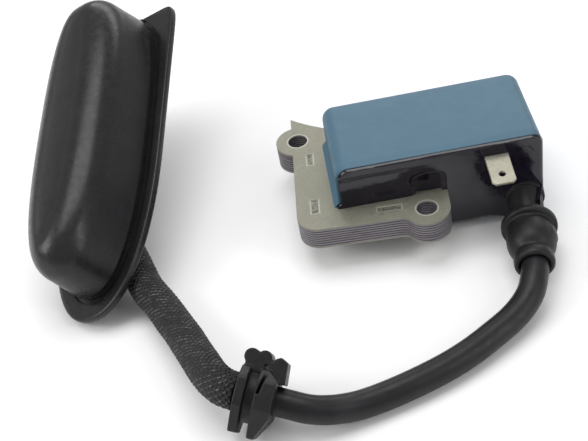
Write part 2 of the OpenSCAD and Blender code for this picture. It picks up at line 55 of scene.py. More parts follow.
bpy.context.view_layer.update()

# ---------------------------------------------------------------- camera, floor and light
scene = bpy.context.scene
camera = bpy.data.objects.new("camera", bpy.data.cameras.new("camera"))
scene.collection.objects.link(camera)
camera.data.sensor_width = 36
camera.data.lens = 70.67
camera.data.clip_start = 0.01
camera.data.clip_end = 20
camera.location = (0.00288, -0.24099, 0.20403)
camera.rotation_euler = [math.radians(a) for a in CAMERA_TURN]
scene.camera = camera
scene.view_settings.view_transform = "Standard"

FLOOR_Z = -15.05 * MM


def area_light(name, at, target, size, power, colour=(1, 1, 1)):
    data = bpy.data.lights.new(name, "AREA")
    data.shape = "RECTANGLE"
    data.size, data.size_y = size
    data.energy = power
    data.color = colour
    lamp = bpy.data.objects.new(name, data)
    scene.collection.objects.link(lamp)
    lamp.location = at
    aim = Vector(target) - Vector(at)
    lamp.rotation_euler = aim.to_track_quat("-Z", "Y").to_euler()


area_light("softbox_top", (-0.05, 0.10, 0.75), (-0.01, -0.02, 0), (0.6, 0.45), 3.0)
area_light("softbox_left", (-0.70, -0.15, 0.45), (-0.02, -0.02, 0), (0.35, 0.5), 2.8)
area_light("strip_right", (0.55, -0.35, 0.35), (0.02, -0.03, 0), (0.12, 0.6), 1.1)
area_light("strip_back", (0.15, 0.65, 0.35), (0, 0, 0), (0.8, 0.15), 1.6)

world = bpy.data.worlds.new("studio")
scene.world = world
world.use_nodes = True
world.node_tree.nodes["Background"].inputs["Color"].default_value = (1, 1, 1, 1)
world.node_tree.nodes["Background"].inputs["Strength"].default_value = 0.50


# ---------------------------------------------------------------- materials
class Shade:
    """A procedural material, with its textures measured in millimetres of the row frame."""

    def __init__(self, name, base, rough, metallic=0.0, ior=1.45, specular=0.5):
        self.material = bpy.data.materials.new(name)
        self.material.use_nodes = True
        self.tree = self.material.node_tree
        self.bsdf = self.tree.nodes["Principled BSDF"]
        self.bsdf.inputs["Metallic"].default_value = metallic
        self.bsdf.inputs["IOR"].default_value = ior
        self.bsdf.inputs["Specular IOR Level"].default_value = specular
        self.base = base
        self.rough = rough
        coordinates = self.tree.nodes.new("ShaderNodeTexCoord")
        scale = self.tree.nodes.new("ShaderNodeVectorMath")
        scale.operation = "SCALE"
        scale.inputs["Scale"].default_value = 1000
        self.link(coordinates.outputs["Object"], scale.inputs[0])
        self.mm = scale.outputs[0]
        self.uv = coordinates.outputs["UV"]
        self.colour = self.rgb(base)
        self.normal = None

    def link(self, a, b):
        self.tree.links.new(a, b)

    def rgb(self, colour):
        node = self.tree.nodes.new("ShaderNodeRGB")
        node.outputs[0].default_value = (*colour, 1)
        return node.outputs[0]

    def math(self, operation, a, b=0.0, clamp=False):
        node = self.tree.nodes.new("ShaderNodeMath")
        node.operation = operation
        node.use_clamp = clamp
        for socket, value in zip(node.inputs, (a, b)):
            if isinstance(value, (int, float)):
                socket.default_value = value
            else:
                self.link(value, socket)
        return node.outputs[0]

    def noise(self, scale, detail=3.0, rough=0.55, stretch=None, seed=0.0):
        vector = self.mm
        if stretch or seed:
            mapping = self.tree.nodes.new("ShaderNodeMapping")
            mapping.inputs["Scale"].default_value = stretch or (1, 1, 1)
            mapping.inputs["Location"].default_value = (seed, seed * 0.7, -seed)
            self.link(self.mm, mapping.inputs["Vector"])
            vector = mapping.outputs[0]
        node = self.tree.nodes.new("ShaderNodeTexNoise")
        node.inputs["Scale"].default_value = scale
        node.inputs["Detail"].default_value = detail
        node.inputs["Roughness"].default_value = rough
        self.link(vector, node.inputs["Vector"])
        return node.outputs["Fac"]

    def voronoi(self, scale):
        node = self.tree.nodes.new("ShaderNodeTexVoronoi")
        node.inputs["Scale"].default_value = scale
        self.link(self.mm, node.inputs["Vector"])
        return node.outputs["Distance"]

    def ramp(self, value, low, high, out_low=0.0, out_high=1.0):
        node = self.tree.nodes.new("ShaderNodeMapRange")
        node.inputs["From Min"].default_value = low
        node.inputs["From Max"].default_value = high
        node.inputs["To Min"].default_value = out_low
        node.inputs["To Max"].default_value = out_high
        self.link(value, node.inputs["Value"])
        return node.outputs["Result"]

    def tint(self, mask, colour):
        node = self.tree.nodes.new("ShaderNodeMix")
        node.data_type = "RGBA"
        self.link(mask, node.inputs[0])
        self.link(self.colour, node.inputs[6])
        self.link(self.rgb(colour), node.inputs[7])
        self.colour = node.outputs[2]

    def bump(self, height, strength, distance):
        node = self.tree.nodes.new("ShaderNodeBump")
        node.inputs["Strength"].default_value = strength
        node.inputs["Distance"].default_value = distance * MM
        self.link(height, node.inputs["Height"])
        if self.normal is not None:
            self.link(self.normal, node.inputs["Normal"])
        self.normal = node.outputs["Normal"]

    def done(self, rough_mask=None, spread=0.0):
        self.link(self.colour, self.bsdf.inputs["Base Color"])
        if rough_mask is None:
            self.bsdf.inputs["Roughness"].default_value = self.rough
        else:
            self.link(self.ramp(rough_mask, 0.3, 0.7, self.rough - spread,
                self.rough + spread), self.bsdf.inputs["Roughness"])
        if self.normal is not None:
            self.link(self.normal, self.bsdf.inputs["Normal"])
        self.material.diffuse_color = (*self.base, 1)
        return self.material


def axes_of(shade):
    """The place's x, y and z in millimetres."""
    node = shade.tree.nodes.new("ShaderNodeSeparateXYZ")
    shade.link(shade.mm, node.inputs[0])
    return node.outputs


def moulded(name, base, dust, rough, grain=2.2, depth=0.05, specular=0.5):
    """Moulded plastic or rubber: a faint grain, cloudy colour and a little dust."""
    shade = Shade(name, base, rough, specular=specular)
    cloud = shade.noise(0.18, 4)
    shade.tint(shade.ramp(cloud, 0.42, 0.68, 0, 0.5), dust)
    speck = shade.voronoi(0.9)
    shade.tint(shade.ramp(speck, 0.09, 0.03, 0, 0.35), dust)
    shade.bump(shade.noise(grain, 5), 0.35, depth)
    shade.bump(shade.noise(0.25, 2, seed=4), 0.12, 0.3)
    return shade.done(shade.noise(0.6, 4, seed=9), 0.07)


def housing_material():
    shade = Shade("housing_blue", (0.058, 0.128, 0.182), 0.46, specular=0.4)
    cloud = shade.noise(0.09, 5, 0.6)
    shade.tint(shade.ramp(cloud, 0.40, 0.70, 0, 0.55), (0.068, 0.142, 0.198))
    streak = shade.noise(0.5, 4, 0.6, (0.25, 1, 1), 3)
    shade.tint(shade.ramp(streak, 0.60, 0.80, 0, 0.35), (0.100, 0.175, 0.232))
    speck = shade.voronoi(0.55)
    shade.tint(shade.ramp(speck, 0.08, 0.02, 0, 0.5), (0.16, 0.23, 0.28))
    shade.bump(shade.noise(3.5, 6), 0.4, 0.04)
    shade.bump(shade.noise(0.12, 2, seed=7), 0.15, 0.5)
    return shade.done(shade.noise(0.4, 5, seed=2), 0.08)


def potting_material():
    shade = Shade("potting_resin", (0.007, 0.0055, 0.011), 0.12, specular=0.42)
    cloud = shade.noise(0.12, 4, 0.6)
    shade.tint(shade.ramp(cloud, 0.45, 0.75, 0, 0.8), (0.020, 0.016, 0.026))
    bubble = shade.voronoi(0.42)
    shade.tint(shade.ramp(bubble, 0.07, 0.02, 0, 0.6), (0.07, 0.065, 0.075))
    shade.bump(shade.noise(0.16, 3, 0.5, seed=5), 0.45, 0.5)
    shade.bump(shade.noise(1.4, 3, seed=1), 0.12, 0.06)
    shade.bsdf.inputs["Coat Weight"].default_value = 0.3
    shade.bsdf.inputs["Coat Roughness"].default_value = 0.08
    return shade.done(shade.noise(0.3, 4, seed=8), 0.07)


def plate_material():
    """Plated sheet steel: greenish grey with a fine cross grain, stains and bright scratches."""
    shade = Shade("core_plate_steel", (0.235, 0.232, 0.185), 0.48, metallic=0.6)
    grain = shade.noise(2.4, 6, 0.7, (1, 5, 1))
    shade.tint(shade.ramp(grain, 0.45, 0.65, 0, 0.6), (0.330, 0.325, 0.265))
    cloud = shade.noise(0.22, 5, 0.65, seed=3)
    shade.tint(shade.ramp(cloud, 0.50, 0.72, 0, 0.6), (0.22, 0.215, 0.18))
    scratch = shade.noise(0.8, 3, 0.6, (6, 0.5, 1), 6)
    shade.tint(shade.ramp(scratch, 0.66, 0.74, 0, 0.6), (0.62, 0.60, 0.54))
    x, y = axes_of(shade)[:2]
    # Painted highlight: a pale ring round each hole's edge, where the edge would catch the light
    for cx, cy in HOLES:
        away = shade.math("SQRT", shade.math("ADD",
            shade.math("POWER", shade.math("SUBTRACT", x, cx), 2),
            shade.math("POWER", shade.math("SUBTRACT", y, cy), 2)))
        shade.tint(shade.ramp(away, RIM_HIGHLIGHT_END, RIM_HIGHLIGHT_FULL, 0, 0.6), (0.60, 0.59, 0.52))
    for cx, cy, w, h in DIMPLES:
        dx = shade.math("SUBTRACT", shade.math("ABSOLUTE", shade.math("SUBTRACT", x, cx)),
            w / 2)
        dy = shade.math("SUBTRACT", shade.math("ABSOLUTE", shade.math("SUBTRACT", y, cy)),
            h / 2)
        edge = shade.math("MAXIMUM", dx, dy)
        # Painted highlight: a pale outline along each dimple's pressed edges
        shade.tint(shade.ramp(shade.math("ABSOLUTE", edge), 0.26, 0.08, 0, 0.6),
            (0.58, 0.57, 0.50))
        # Painted shade: darker in noisy patches inside each dimple's hollow
        inside = shade.math("MULTIPLY", shade.ramp(edge, -0.25, -0.45, 0, 1),
            shade.ramp(shade.noise(0.9, 3, seed=2), 0.40, 0.60, 0, 0.9))
        shade.tint(inside, (0.10, 0.098, 0.085))
    shade.bump(grain, 0.35, 0.03)
    return shade.done(shade.noise(1.1, 5, seed=5), 0.12)


def stack_material():
    """The cut edges of the laminations: a fine line to each plate and a strong one to each
    pair of plates."""
    shade = Shade("core_stack_edges", (0.120, 0.105, 0.125), 0.46, metallic=0.5)
    z = axes_of(shade)[2]
    wobble = shade.math("MULTIPLY", shade.noise(0.35, 3, stretch=(1, 1, 0.1)), 0.12)
    height = shade.math("ADD", z, wobble)
    turn = shade.math("FRACT", shade.math("MULTIPLY", height, PLATES_PER_MM))
    pair = shade.math("FRACT", shade.math("MULTIPLY", height, PLATES_PER_MM / 2))
    pale = shade.ramp(turn, 0.55, 0.85, 0, 0.8)
    shade.tint(pale, (0.36, 0.34, 0.35))
    dark = shade.ramp(turn, 0.22, 0.04, 0, 0.9)
    shade.tint(dark, (0.018, 0.015, 0.022))
    shade.tint(shade.ramp(pair, 0.50, 0.80, 0, 0.85), (0.030, 0.026, 0.034))
    shade.tint(shade.ramp(pair, 0.42, 0.22, 0, 0.45), (0.40, 0.38, 0.39))
    band = shade.noise(1.0, 2, 0.5, (0.05, 0.05, 5.0), 4)
    shade.tint(shade.ramp(band, 0.54, 0.66, 0, 0.5), (0.055, 0.048, 0.060))
    smear = shade.noise(0.5, 4, 0.6, (0.5, 0.5, 1.6), 4)
    shade.tint(shade.ramp(smear, 0.58, 0.74, 0, 0.5), (0.070, 0.060, 0.072))
    shade.bump(turn, 0.5, 0.08)
    return shade.done(smear, 0.14)


def nickel_material():
    shade = Shade("tab_nickel", (0.31, 0.295, 0.235), 0.42, metallic=0.75)
    grain = shade.noise(3.0, 6, 0.7)
    shade.tint(shade.ramp(grain, 0.42, 0.62, 0, 0.7), (0.47, 0.45, 0.38))
    stain = shade.noise(0.7, 5, 0.6, seed=2)
    shade.tint(shade.ramp(stain, 0.56, 0.72, 0, 0.6), (0.30, 0.28, 0.23))
    shade.bump(grain, 0.5, 0.05)
    return shade.done(stain, 0.10)


def lead_material():
    shade = Shade("lead_jacket", (0.009, 0.009, 0.0105), 0.40, specular=0.34)
    cloud = shade.noise(0.12, 4)
    shade.tint(shade.ramp(cloud, 0.45, 0.70, 0, 0.6), (0.022, 0.021, 0.023))
    scuff = shade.noise(0.8, 5, 0.65, (1, 3, 3), 4)
    shade.tint(shade.ramp(scuff, 0.64, 0.78, 0, 0.4), (0.055, 0.053, 0.055))
    shade.bump(shade.noise(1.8, 5), 0.28, 0.05)
    return shade.done(shade.noise(0.5, 4, seed=3), 0.07)


def braid_material():
    """Varnished braid: dark crossing strands whose crests carry pale flecks of painted
    highlight.
    """
    shade = Shade("braid_varnished", (0.0055, 0.0055, 0.006), 0.5)
    split = shade.tree.nodes.new("ShaderNodeSeparateXYZ")
    shade.link(shade.uv, split.inputs[0])
    u, v = split.outputs[0], split.outputs[1]
    lean = shade.math("MULTIPLY", v, 1 / BRAID_PITCH / 2)
    crests = []
    for sign in ("ADD", "SUBTRACT"):
        turn = shade.math("MULTIPLY", shade.math(sign, u, lean), BRAID_STRANDS * 2 * math.pi)
        crests.append(shade.math("COSINE", turn))
    crossing = shade.math("MULTIPLY",
        shade.math("COSINE", shade.math("MULTIPLY", u, BRAID_STRANDS * 2 * math.pi)),
        shade.math("COSINE", shade.math("MULTIPLY", v, BRAID_STRANDS * math.pi
            / BRAID_PITCH)))
    over = shade.ramp(crossing, -0.15, 0.15)
    under = shade.math("SUBTRACT", 1.0, over)
    weave = shade.math("ADD", shade.math("MULTIPLY", over, crests[0]),
        shade.math("MULTIPLY", under, crests[1]))
    lit = shade.noise(0.45, 4, 0.6, seed=6)
    # Painted highlight: pale glints on the strands' crests, patchy by noise
    crest_glint = shade.math("MULTIPLY", shade.ramp(weave, 0.45, 0.95, 0, 1),
        shade.ramp(lit, 0.46, 0.64, 0.02, 0.9))
    shade.tint(crest_glint, (0.17, 0.165, 0.16))
    fine = shade.noise(3.6, 3, 0.6)
    shade.tint(shade.ramp(fine, 0.60, 0.72, 0, 0.4), (0.035, 0.034, 0.033))
    shade.bump(weave, 0.6, 0.25)
    shade.bump(fine, 0.4, 0.08)
    return shade.done(shade.noise(1.0, 4, seed=3), 0.10)


def metal_material(name, base, dull, rough):
    shade = Shade(name, base, rough, metallic=0.95)
    grain = shade.noise(2.0, 5, 0.65, (1, 3, 1))
    shade.tint(shade.ramp(grain, 0.45, 0.70, 0, 0.6), dull)
    shade.bump(grain, 0.25, 0.03)
    return shade.done(shade.noise(0.9, 4, seed=2), 0.08)


def wire_material():
    """Enamelled wire, wound side by side along the former."""
    shade = Shade("copper_wire", (0.45, 0.16, 0.05), 0.28, metallic=0.7)
    y = axes_of(shade)[1]
    turn = shade.math("FRACT", shade.math("MULTIPLY", y, WIRES_PER_MM))
    crest = shade.math("ABSOLUTE", shade.math("SUBTRACT", turn, 0.5))
    # Painted shade: darker in the grooves between neighbouring turns
    shade.tint(shade.ramp(crest, 0.30, 0.50, 0, 0.9), (0.10, 0.03, 0.01))
    shade.tint(shade.ramp(shade.noise(0.7, 4), 0.5, 0.7, 0, 0.5), (0.60, 0.27, 0.10))
    shade.bump(crest, 0.8, 0.12)
    return shade.done()


def board_material():
    shade = Shade("board_laminate", (0.030, 0.120, 0.060), 0.35)
    weave = shade.noise(1.6, 2, 0.5, (1, 4, 1))
    shade.tint(shade.ramp(weave, 0.45, 0.60, 0, 0.4), (0.045, 0.160, 0.080))
    track = shade.noise(0.35, 1, 0.4, (1, 3, 1), 5)
    shade.tint(shade.ramp(track, 0.56, 0.58, 0, 0.7), (0.060, 0.200, 0.095))
    shade.bump(track, 0.3, 0.05)
    return shade.done()


def floor_material():
    shade = Shade("floor_paper", (0.93, 0.93, 0.93), 0.85)
    shade.tint(shade.ramp(shade.noise(0.02, 3), 0.4, 0.7, 0, 0.5), (0.90, 0.90, 0.905))
    shade.bump(shade.noise(0.8, 4), 0.05, 0.05)
    return shade.done()


M = {
    "housing": housing_material(),
    "potting": potting_material(),
    "core_plate": plate_material(),
    "core_stack": stack_material(),
    "nickel": nickel_material(),
    "lead_jacket": lead_material(),
    "braid": braid_material(),
    "copper": wire_material(),
    "board": board_material(),
    "brass": metal_material("brass_strip", (0.62, 0.42, 0.14), (0.35, 0.24, 0.10), 0.30),
    "spring": metal_material("spring_wire", (0.45, 0.45, 0.47), (0.22, 0.22, 0.24), 0.28),
    "rubber": moulded("rubber_fittings", (0.0085, 0.0085, 0.0095), (0.020, 0.019, 0.020), 0.45,
        specular=0.34),
    "cap": moulded("rubber_cap", (0.010, 0.0098, 0.0108), (0.017, 0.016, 0.016), 0.30,
        grain=1.5, depth=0.06, specular=0.42),
    "bobbin": moulded("bobbin_plastic", (0.030, 0.034, 0.042), (0.06, 0.065, 0.07), 0.42),
    "chip": moulded("chip_epoxy", (0.012, 0.012, 0.014), (0.03, 0.03, 0.03), 0.40),
    "capacitor": moulded("capacitor_coating", (0.20, 0.02, 0.015), (0.26, 0.05, 0.03), 0.25),
    "resistor": moulded("resistor_lacquer", (0.50, 0.42, 0.26), (0.60, 0.54, 0.38), 0.40),
}


# ---------------------------------------------------------------- mesh helpers
def dress(obj, slot_name, body="coil"):
    obj.data.materials.clear()
    obj.data.materials.append(M[slot_name])
    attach(obj, body)
    return obj


def new_object(name, data):
    obj = bpy.data.objects.new(name, data)
    scene.collection.objects.link(obj)
    return obj


def mesh_object(name, verts, faces, sharp=40.0, close=1e-7):
    """A mesh in metres from points in metres. Its faces are turned outward."""
    mesh = bpy.data.meshes.new(name)
    mesh.from_pydata([tuple(v) for v in verts], [], [tuple(f) for f in faces])
    bm = bmesh.new()
    bm.from_mesh(mesh)
    bmesh.ops.remove_doubles(bm, verts=bm.verts, dist=close)
    bmesh.ops.recalc_face_normals(bm, faces=bm.faces)
    bm.to_mesh(mesh)
    bm.free()
    smooth(mesh, sharp)
    return new_object(name, mesh)


def smooth(mesh, sharp=40.0):
    mesh.polygons.foreach_set("use_smooth", [True] * len(mesh.polygons))
    mesh.set_sharp_from_angle(angle=math.radians(sharp))
    mesh.update()


def finer_copy(node, name, width, segments=2, angle=28.0, flat=1.0):
    """A copy of a CAD node's mesh whose sharp edges are rounded over, as a moulding or a
    stamping has them."""
    bm = bmesh.new()
    bm.from_mesh(nodes[node].data)
    bmesh.ops.remove_doubles(bm, verts=bm.verts, dist=2e-6)
    bmesh.ops.dissolve_limit(bm, angle_limit=math.radians(flat), verts=bm.verts,
        edges=bm.edges, delimit=set())
    bmesh.ops.recalc_face_normals(bm, faces=bm.faces)
    edges = [e for e in bm.edges if len(e.link_faces) == 2
        and e.calc_face_angle(0) > math.radians(angle)]
    if width and edges:
        bmesh.ops.bevel(bm, geom=edges, offset=width * MM, offset_type="OFFSET",
            segments=segments, profile=0.5, affect="EDGES", clamp_overlap=True)
    mesh = bpy.data.meshes.new(name)
    bm.to_mesh(mesh)
    bm.free()
    smooth(mesh, 35)
    obj = new_object(name, mesh)
    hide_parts(node)
    return obj


def rounded_rubber(node, name, voxel, rounds):
    """A copy of a CAD node's mesh as soft rubber: remeshed finely and eased at every edge."""
    source = nodes[node].data.copy()
    obj = new_object(name, source)
    remesh = obj.modifiers.new("remesh", "REMESH")
    remesh.mode = "VOXEL"
    remesh.voxel_size = voxel * MM
    ease = obj.modifiers.new("ease", "SMOOTH")
    ease.factor = 0.5
    ease.iterations = rounds
    bpy.context.view_layer.update()
    result = bpy.data.meshes.new_from_object(
        obj.evaluated_get(bpy.context.evaluated_depsgraph_get()))
    obj.modifiers.clear()
    obj.data = result
    result.name = name
    smooth(result, 60)
    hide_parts(node)
    return obj


def catmull(points, per):
    """A smooth curve through the points, with per samples to each stretch."""
    p = [Vector(v) for v in points]
    p = [2 * p[0] - p[1]] + p + [2 * p[-1] - p[-2]]
    out = []
    for i in range(1, len(p) - 2):
        for k in range(per):
            t = k / per
            a, b, c, d = p[i - 1], p[i], p[i + 1], p[i + 2]
            out.append(0.5 * ((2 * b) + (c - a) * t + (2 * a - 5 * b + 4 * c - d) * t * t
                + (3 * b - a - 3 * c + d) * t * t * t))
    out.append(p[-2])
    return out


def frames_along(path):
    """A tangent and two square directions at each point, carried along without twist."""
    n = len(path)
    out = []
    side = None
    for i in range(n):
        t = (path[min(i + 1, n - 1)] - path[max(i - 1, 0)]).normalized()
        if side is None:
            side = Vector((0, 0, 1)).cross(t).normalized()
        side = (side - side.dot(t) * t).normalized()
        out.append((t, side, t.cross(side)))
    return out


def loft(rings, closed_ends=(True, True), loop=False):
    """Faces between rings of equal length. Returns points and faces."""
    count = len(rings[0])
    verts = [v for ring in rings for v in ring]
    faces = []
    last = len(rings) if loop else len(rings) - 1
    for i in range(last):
        a, b = i * count, ((i + 1) % len(rings)) * count
        for k in range(count):
            n = (k + 1) % count
            faces.append((a + k, a + n, b + n, b + k))
    if not loop and closed_ends[0]:
        faces.append(tuple(range(count - 1, -1, -1)))
    if not loop and closed_ends[1]:
        faces.append(tuple((len(rings) - 1) * count + k for k in range(count)))
    return verts, faces


def turned(name, profile, matrix, sides=96, sharp=40.0):
    """A turned piece from (radius, height) pairs in millimetres, as a closed loop."""
    rings = [[matrix @ Vector((r * math.cos(2 * math.pi * k / sides) * MM,
        r * math.sin(2 * math.pi * k / sides) * MM, h * MM)) for k in range(sides)]
        for r, h in profile]
    verts, faces = loft(rings, loop=True)
    return mesh_object(name, verts, faces, sharp)


# ---------------------------------------------------------------- places from the CAD source
BLOCK = Matrix.Rotation(math.radians(3.7), 4, "Z")
TOWER_AT = Vector((0.043, -0.0093, -0.0075))
TOWER_TURN = math.radians(-5)
CAP_AT = Vector((-0.0688, 0.0153, 0.0028))
CAP = (Matrix.Translation(CAP_AT) @ Matrix.Rotation(math.radians(-6.8), 4, "Z")
    @ Matrix.Rotation(math.radians(17.2), 4, "X")
    @ Matrix.Rotation(math.radians(-28.7), 4, "Y"))


def tower_point(s):
    return TOWER_AT + s * Vector((math.sin(TOWER_TURN), -math.cos(TOWER_TURN), 0))


def tower_matrix(s):
    return (Matrix.Translation(tower_point(s)) @ Matrix.Rotation(TOWER_TURN, 4, "Z")
        @ Matrix.Rotation(math.radians(90), 4, "X"))


def cap_point(x, y, z):
    return CAP @ Vector((x, y, z))


STRAIGHT_FAR = (-0.035, -0.0674, -0.004)
STRAIGHT_NEAR = (-0.0195, -0.0719, -0.0079)
ROUTE = [
    tower_point(0.008), tower_point(0.018), tower_point(0.027),
    (0.0396, -0.0404, -0.0079), (0.0381, -0.0440, -0.0088), (0.0356, -0.0472, -0.0098),
    (0.0320, -0.0505, -0.0106), (0.0272, -0.0540, -0.0111), (0.0213, -0.0581, -0.0114),
    (0.0145, -0.0620, -0.0115), (0.0070, -0.0654, -0.0115), (-0.0005, -0.0682, -0.0115),
    (-0.0070, -0.0703, -0.0111), (-0.0120, -0.0715, -0.0101), (-0.0160, -0.0720, -0.0090),
    STRAIGHT_NEAR, STRAIGHT_FAR,
    (-0.0379, -0.0659, -0.0037), (-0.0403, -0.0633, -0.0038), (-0.0422, -0.0599, -0.0045),
    (-0.0440, -0.0558, -0.0055), (-0.0463, -0.0506, -0.0066), (-0.0490, -0.0445, -0.0076),
    (-0.0523, -0.0380, -0.0083), (-0.0558, -0.0312, -0.0088),
    cap_point(0.0122, -0.0403, -0.0062), cap_point(0.0092, -0.0350, -0.0054),
    cap_point(0.0066, -0.0295, -0.0040), cap_point(0.0044, -0.0235, -0.0006),
    cap_point(0.0026, -0.0175, 0.0040), cap_point(0.0012, -0.0115, 0.0086),
    cap_point(0.0003, -0.0055, 0.0120), cap_point(0, 0.0005, 0.0130),
    cap_point(0, 0.0062, 0.0130), cap_point(0, 0.0118, 0.0130),
]
NEAR, FAR, SLEEVE_END = 15, 16, 30
LEAD_R = 3.5
SLEEVE_IN, SLEEVE_MID, SLEEVE_OUT = 3.85, 4.52, 4.75
BOOT_AT = 0.012


# ---------------------------------------------------------------- the lead and its sleeve
def route_curve(per=6):
    """The route as a smooth line, kept straight between the two points that carry the
    grommet."""
    # The line bends into the straight stretch and out of it on the stretch's own direction.
    along = (Vector(STRAIGHT_FAR) - Vector(STRAIGHT_NEAR)) / 4
    first = catmull(ROUTE[:NEAR + 1] + [Vector(STRAIGHT_NEAR) + along], per)[:-1]
    middle = [Vector(STRAIGHT_NEAR) + along * (1 + k) for k in range(3)]
    last = catmull([Vector(STRAIGHT_FAR) - along / 3] + ROUTE[FAR:], per)
    return first + middle + last[0:1] + last[per:]


line = route_curve()
curve = bpy.data.curves.new("high_tension_lead", "CURVE")
curve.dimensions = "3D"
curve.bevel_depth = LEAD_R * MM
curve.bevel_resolution = 10
curve.use_fill_caps = True
spline = curve.splines.new("POLY")
spline.points.add(len(line) - 1)
for point, place in zip(spline.points, line):
    point.co = (*place, 1)
spline.use_smooth = True
lead = new_object("high_tension_lead", curve)
dress(lead, "lead_jacket")
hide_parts("ht_lead")


def braid_height(u, v):
    """Height of the weave at u turns round the sleeve and v millimetres along it."""
    strands, pitch = BRAID_STRANDS, BRAID_PITCH
    a = np.cos(2 * np.pi * strands * (u + v / pitch / 2))
    b = np.cos(2 * np.pi * strands * (u - v / pitch / 2))
    over = np.cos(np.pi * strands * u * 2) * np.cos(np.pi * strands * v / pitch)
    weight = 1 / (1 + np.exp(-6 * over))
    return weight * a + (1 - weight) * b


def sleeve():
    coarse = catmull([Vector(STRAIGHT_FAR) - (Vector(STRAIGHT_FAR)
        - Vector(STRAIGHT_NEAR)) / 12] + ROUTE[FAR:SLEEVE_END + 1], 24)
    path = [coarse[i] for i in range(24, len(coarse))]
    sides = 128
    frames = frames_along(path)
    rings = []
    walked = 0.0
    turns = np.arange(sides) / sides
    for i, place in enumerate(path):
        if i:
            walked += (path[i] - path[i - 1]).length / MM
        t, side, up = frames[i]
        swell = 0.04 * math.sin(walked * 0.55) + 0.03 * math.sin(walked * 1.7 + 1)
        radius = SLEEVE_MID + swell * 0.6 + 0.13 * braid_height(turns, walked)
        radius = np.minimum(radius, SLEEVE_OUT)
        rings.append([place + (side * math.cos(2 * math.pi * k) + up
            * math.sin(2 * math.pi * k)) * float(r) * MM for k, r in zip(turns, radius)])
    inner = [[place + (frames[i][1] * math.cos(2 * math.pi * k) + frames[i][2]
        * math.sin(2 * math.pi * k)) * SLEEVE_IN * MM for k in turns]
        for i, place in list(enumerate(path))[::-1]]
    step = max(1, len(inner) // 40)
    inner = inner[::step] + ([inner[-1]] if (len(inner) - 1) % step else [])
    verts, faces = loft(rings + inner, loop=True)
    obj = mesh_object("braided_sleeve_weave", verts, faces, 60)
    walked_at = [0.0]
    for i in range(1, len(path)):
        walked_at.append(walked_at[-1] + (path[i] - path[i - 1]).length / MM)
    uv = obj.data.uv_layers.new(name="weave")
    for face in obj.data.polygons:
        ks = [obj.data.loops[i].vertex_index % sides for i in face.loop_indices]
        seam = max(ks) - min(ks) > sides / 2
        for i, k in zip(face.loop_indices, ks):
            row = min(obj.data.loops[i].vertex_index // sides, len(path) - 1)
            uv.data[i].uv = ((k + sides if seam and k < sides / 2 else k) / sides,
                walked_at[row])
    return obj


sleeve_piece = dress(sleeve(), "braid")
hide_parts("braided_sleeve")


# ---------------------------------------------------------------- plug cap
DOME_AT = (0.8, 2.7)
DOME_W, DOME_L, DOME_H = 29.0, 92.0, 22.7
DOME_EDGE, DOME_POWER, DOME_POWER_NEAR, DOME_TAPER = 9.0, 2.95, 2.5, 0.8
WALL = 2.0
FLANGE_W, FLANGE_L, FLANGE_T = 39.2, 98.0, 2.0


def squircle(a, w, l, power):
    c, s = math.cos(a), math.sin(a)
    return (w / 2 * math.copysign(abs(c) ** (2 / power), c),
        l / 2 * math.copysign(abs(s) ** (2 / power), s))


def dome_ring(inset, z, count):
    out = []
    for k in range(count):
        a = 2 * math.pi * k / count
        power = DOME_POWER_NEAR if math.sin(a) < 0 else DOME_POWER
        x, y = squircle(a, DOME_W - 2 * inset, DOME_L - 2 * inset, power)
        out.append(Vector((DOME_AT[0] + x, DOME_AT[1] + y, z)))
    return out


def flange_reach(phi):
    c, s = abs(math.cos(phi)), abs(math.sin(phi))
    w, l = FLANGE_W / 2, FLANGE_L / 2
    if math.sin(phi) < 0:
        return ((c / w) ** 2.3 + (s / l) ** 2.3) ** (-1 / 2.3)
    return ((c / w) ** 18 + (s / l) ** 18) ** (-1 / 18)


def flange_ring(inset, z, count):
    """The flange's outline, sampled in the directions of the dome's outline."""
    corner = math.atan2(FLANGE_L / 2, FLANGE_W / 2)
    out = []
    guide = dome_ring(0, 0, count)
    angles = [math.atan2(p.y, p.x) for p in guide]
    for target in (corner, math.pi - corner):
        nearest = min(range(count), key=lambda k: abs(angles[k] - target))
        angles[nearest] = target
    for phi in angles:
        r = flange_reach(phi)
        x, y = r * math.cos(phi), r * math.sin(phi)
        shrink = 1 - inset / r
        out.append(Vector((x * shrink, y * shrink, z)))
    return out


def between(a, b, t, z):
    return [Vector((p.x * (1 - t) + q.x * t, p.y * (1 - t) + q.y * t, z))
        for p, q in zip(a, b)]


def crown(ring, share, z):
    """A ring drawn in towards the dome's long ridge."""
    cx, cy = DOME_AT
    w = max(abs(p.x - cx) for p in ring)
    l = max(abs(p.y - cy) for p in ring)
    keep = 1 - share * w / l
    return [Vector((cx + (p.x - cx) * (1 - share), cy + (p.y - cy) * keep, z))
        for p in ring]


